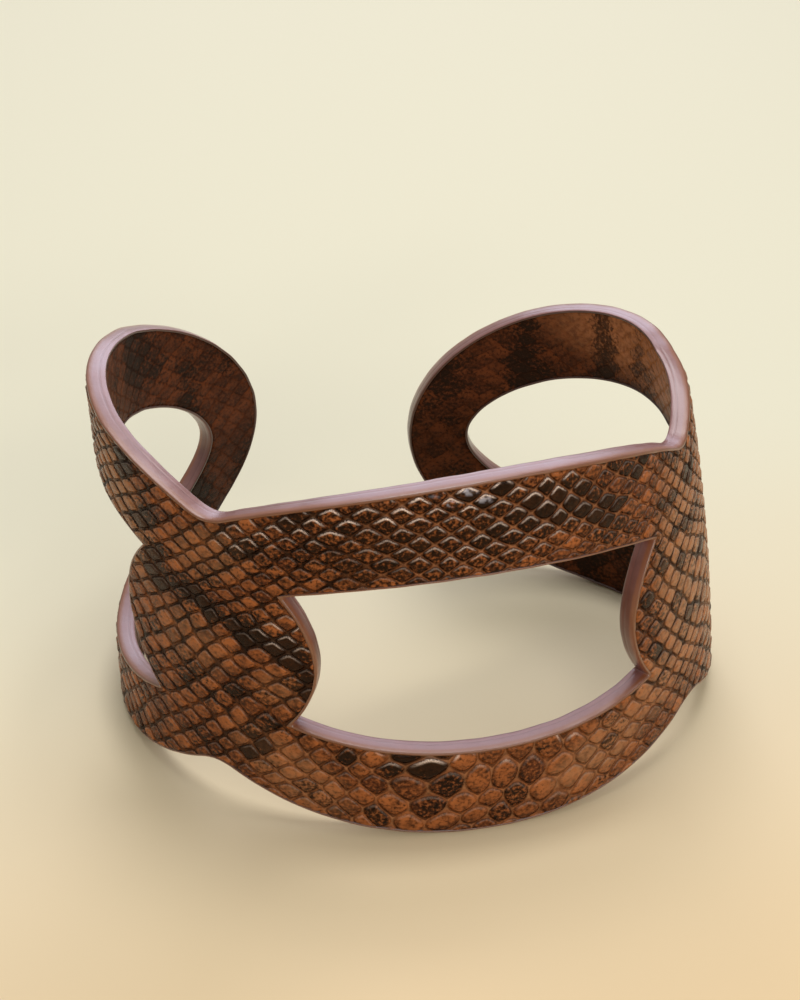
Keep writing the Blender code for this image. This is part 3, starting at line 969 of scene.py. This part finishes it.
OUTSIDE_TONES = dict(
    orange=colour(166, 98, 53), brown=colour(84, 43, 22), deep=colour(50, 24, 12),
    print=colour(16, 7, 4), joint=colour(25, 14, 9), pale_joint=colour(146, 91, 56),
    painted_highlight=colour(250, 226, 208), painted_sheen=colour(200, 204, 222), tan=colour(168, 120, 82),
    joint_depth=0.92)
INSIDE_TONES = dict(
    orange=colour(104, 54, 28), brown=colour(68, 33, 17), deep=colour(50, 24, 13),
    print=colour(28, 15, 9), joint=colour(40, 20, 12), pale_joint=colour(54, 28, 16),
    painted_highlight=colour(100, 60, 38), painted_sheen=colour(100, 60, 38), tan=colour(182, 118, 76),
    joint_depth=0.12)

outside = snake_leather("snake_leather_outside", OUTSIDE_TONES, 0.10, 1.0, 0.88)
inside = snake_leather("snake_leather_inside", INSIDE_TONES, 0.34, 0.05, 0.0)
paint = edge_paint()

leather_face("outer_grain", "outer_leather", OUTER_CELL, OUTER_FACE, 1, OUTER_RELIEF,
             OUTER_SEED, saddle_marks, outside)
leather_face("lining_grain", "lining_leather", LINING_CELL, LINING_FACE, -1, LINING_RELIEF,
             LINING_SEED, lining_marks, inside)
for label, points in outlines(EDGE_SPACING).items():
    if label == "outer":
        points = np.stack(onto_rim(points[:, 0], points[:, 1], 0.00001), axis=1)
    painted_edge("edge_" + label, points, paint)


# Floor, light and camera
FLOOR_REACH = 3.0


def floor_and_light():
    """A wide pale floor, a soft light over the back, a weaker one from the front, a pale sky."""
    mesh = bpy.data.meshes.new("floor")
    reach = FLOOR_REACH
    corners = [(-reach, -reach, 0.0), (reach, -reach, 0.0), (reach, reach, 0.0), (-reach, reach, 0.0)]
    mesh.from_pydata(corners, [], [(0, 1, 2, 3)])
    finish = Finish("pale_floor")
    point = finish.node("ShaderNodeTexCoord").outputs["Object"]
    split = finish.node("ShaderNodeSeparateXYZ")
    finish.put(split.inputs[0], point)
    cloud = finish.maths("MULTIPLY", finish.maths("SUBTRACT", finish.noise(point, 9.0), 0.5), 0.3)
    away = finish.ramp(finish.maths("ADD", split.outputs[1], finish.maths("MULTIPLY", cloud, 0.1)),
                       -0.095, 0.05)
    finish.put(finish.shader.inputs["Base Color"],
               finish.mix(away, colour(230, 199, 150), colour(222, 219, 193)))
    finish.shader.inputs["Roughness"].default_value = 0.9
    finish.shader.inputs["Specular IOR Level"].default_value = 0.1
    mesh.materials.append(finish.material)
    floor = bpy.data.objects.new("floor", mesh)
    bpy.context.scene.collection.objects.link(floor)

    def soft_light(name, position, size, power, tint, height=None):
        lamp = bpy.data.lights.new(name, "AREA")
        lamp.shape = "RECTANGLE"
        lamp.size = size
        lamp.size_y = height or size
        lamp.energy = power
        lamp.color = tint
        holder = bpy.data.objects.new(name, lamp)
        aim = Vector((0.0, 0.0, 0.02)) - Vector(position)
        holder.matrix_world = Matrix.Translation(position) @ aim.to_track_quat(
            "-Z", "Y").to_matrix().to_4x4()
        bpy.context.scene.collection.objects.link(holder)

    soft_light("back_light", (0.15, 0.50, 0.34), 0.40, 1.4, (0.82, 0.82, 1.0))
    soft_light("key_light", (0.02, 0.09, 0.48), 0.26, 1.25, (0.98, 0.96, 1.0))
    soft_light("glint_light", (0.12, -0.42, 0.22), 0.50, 0.95, (1.0, 0.96, 0.93), 0.030)
    world = bpy.data.worlds.new("pale_sky")
    world.use_nodes = True
    sky = world.node_tree.nodes["Background"]
    sky.inputs["Color"].default_value = (0.97, 0.93, 0.87, 1.0)
    sky.inputs["Strength"].default_value = 0.40
    bpy.context.scene.world = world
    bpy.context.scene.view_settings.view_transform = "Standard"
    bpy.context.scene.view_settings.look = "None"


floor_and_light()

# The photograph's view: angles, the lens and the point looked at, from the bent blank's middle
VIEW_AZIMUTH = math.radians(-16.854)
VIEW_ELEVATION = math.radians(33.338)
VIEW_ROLL = math.radians(2.054)
VIEW_DISTANCE = 0.19481
VIEW_ASIDE = -0.002049
VIEW_UP = 0.018313
BLANK_MIDDLE_Y = 0.02375
LENS_OVER_FRAME = 1.7993
SENSOR = 36.0


def photograph_camera():
    """The camera looks back along the view's direction at the aim, turned by the small roll."""
    az, el, roll = VIEW_AZIMUTH, VIEW_ELEVATION, VIEW_ROLL
    back = Vector((math.sin(az) * math.cos(el), -math.cos(az) * math.cos(el), math.sin(el)))
    right = Vector((math.cos(az), math.sin(az), 0.0))
    up = back.cross(right)
    aim = Vector((0.0, BLANK_MIDDLE_Y, 0.0)) + right * VIEW_ASIDE + up * VIEW_UP + Vector(SHIFT)
    turned_right = right * math.cos(roll) + up * math.sin(roll)
    turned_up = up * math.cos(roll) - right * math.sin(roll)
    data = bpy.data.cameras.new("photograph_view")
    data.sensor_fit = "AUTO"
    data.sensor_width = SENSOR
    data.lens = SENSOR * LENS_OVER_FRAME
    data.clip_start = 0.01
    data.clip_end = 20.0
    camera = bpy.data.objects.new("photograph_view", data)
    turn = Matrix((turned_right, turned_up, back)).transposed().to_4x4()
    camera.matrix_world = Matrix.Translation(aim + back * VIEW_DISTANCE) @ turn
    bpy.context.scene.collection.objects.link(camera)
    bpy.context.scene.camera = camera


photograph_camera()
